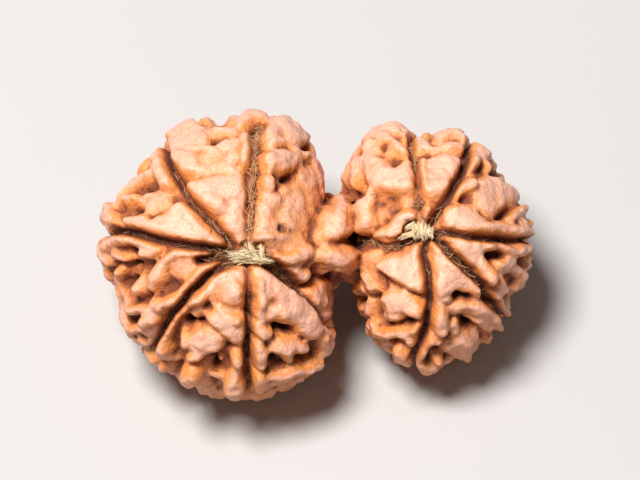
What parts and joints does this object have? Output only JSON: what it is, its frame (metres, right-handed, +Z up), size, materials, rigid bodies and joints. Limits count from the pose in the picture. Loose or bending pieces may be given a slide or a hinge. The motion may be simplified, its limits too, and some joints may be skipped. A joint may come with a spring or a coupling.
{
  "type": "gauri shankar rudraksha",
  "caption": "Dried rudraksha stone of two knobbly, deeply cleft round halves grown together side by side, with pale stalk fibres in the scar at each pole.",
  "frame": {"origin": "under the middle of the stone's bounding box, on the surface it rests on", "axes": "+X along both halves, from the larger to the smaller; +Z up; -Y towards the viewer who looks down on the stalk scars"},
  "size_m": [0.033, 0.0222, 0.0197],
  "materials": {
    "stone": "smooth, dry, faintly waxy, darker in the crevices",
    "fibre": "matte dried plant fibre"
  },
  "bodies": {
    "root": {"twin_stone": "stone", "stem_fibres_left": "fibre", "stem_fibres_right": "fibre"}
  },
  "joints": []
}
